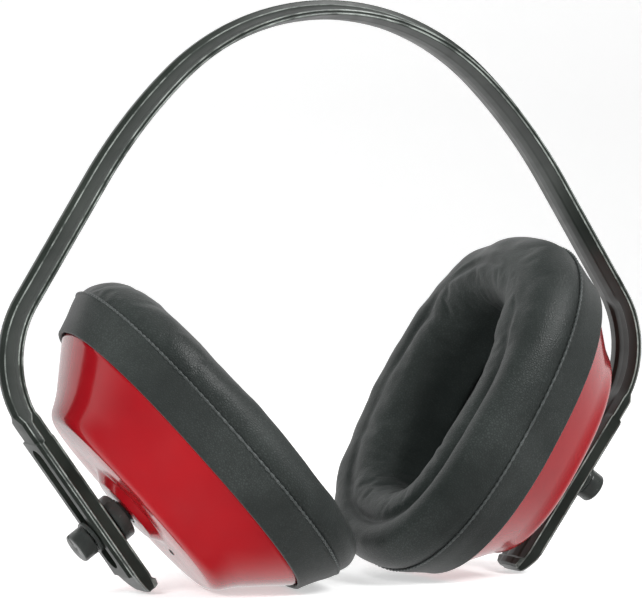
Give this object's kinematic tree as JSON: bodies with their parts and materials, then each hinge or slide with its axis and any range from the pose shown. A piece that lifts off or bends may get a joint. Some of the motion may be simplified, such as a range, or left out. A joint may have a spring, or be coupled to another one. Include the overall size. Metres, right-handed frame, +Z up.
{
  "type": "earmuff hearing protector",
  "caption": "Over-the-head ear defender: arched plastic band with slotted legs, glossy cups on sliding ball-ended studs, and soft oval leatherette cushions round foam-lined ear openings.",
  "frame": {"origin": "middle of the inner ridge at the crown of the headband, where the band sits on a head", "axes": "+Z up, +X towards the right-hand cup in the picture, -Y towards the front; the band lies in the XZ plane"},
  "size_m": [0.1802, 0.077, 0.1494],
  "materials": {
    "band_plastic": "satin",
    "shell_plastic": "gloss",
    "pivot_plastic": "satin",
    "plate_plastic": "matte",
    "leatherette": "matte",
    "skirt_vinyl": "matte",
    "cushion_foam": "matte",
    "liner_foam": "matte"
  },
  "bodies": {
    "band": {"headband": "band_plastic"},
    "left_slider": {"left_stud_cap": "pivot_plastic", "left_friction_washer": "pivot_plastic", "left_pivot_stud": "pivot_plastic"},
    "left_collar": {"left_swivel_collar": "pivot_plastic"},
    "left_cup": {"left_cup_shell": "shell_plastic", "left_back_plate": "plate_plastic", "left_cushion_skirt": "skirt_vinyl", "left_cushion_cover": "leatherette", "left_cushion_foam": "cushion_foam", "left_ear_liner": "liner_foam"},
    "right_slider": {"right_stud_cap": "pivot_plastic", "right_friction_washer": "pivot_plastic", "right_pivot_stud": "pivot_plastic"},
    "right_collar": {"right_swivel_collar": "pivot_plastic"},
    "right_cup": {"right_cup_shell": "shell_plastic", "right_back_plate": "plate_plastic", "right_cushion_skirt": "skirt_vinyl", "right_cushion_cover": "leatherette", "right_cushion_foam": "cushion_foam", "right_ear_liner": "liner_foam"}
  },
  "joints": [
    {"name": "left_height_slide", "type": "slide", "parent": "band", "child": "left_slider", "axis": [-0.5807, 0, 0.8141], "range_m": [-0.004, 0.005]},
    {"name": "left_cup_turn", "type": "hinge", "parent": "left_slider", "child": "left_collar", "pos_m": [-0.05566, 0, -0.12197], "axis": [0.8141, 0, 0.5807], "range_deg": [-10, 18]},
    {"name": "left_cup_tilt", "type": "hinge", "parent": "left_collar", "child": "left_cup", "pos_m": [-0.05566, 0, -0.12197], "axis": [-0.0808, -0.9903, 0.1133], "range_deg": [-8, 3]},
    {"name": "right_height_slide", "type": "slide", "parent": "band", "child": "right_slider", "axis": [0.5807, 0, 0.8141], "range_m": [-0.008, 0.003]},
    {"name": "right_cup_turn", "type": "hinge", "parent": "right_slider", "child": "right_collar", "pos_m": [0.06222, 0, -0.11277], "axis": [-0.8141, 0, 0.5807], "range_deg": [-14, 12]},
    {"name": "right_cup_tilt", "type": "hinge", "parent": "right_collar", "child": "right_cup", "pos_m": [0.06222, 0, -0.11277], "axis": [0.0405, 0.9976, 0.0568], "range_deg": [-3, 3.5]}
  ]
}
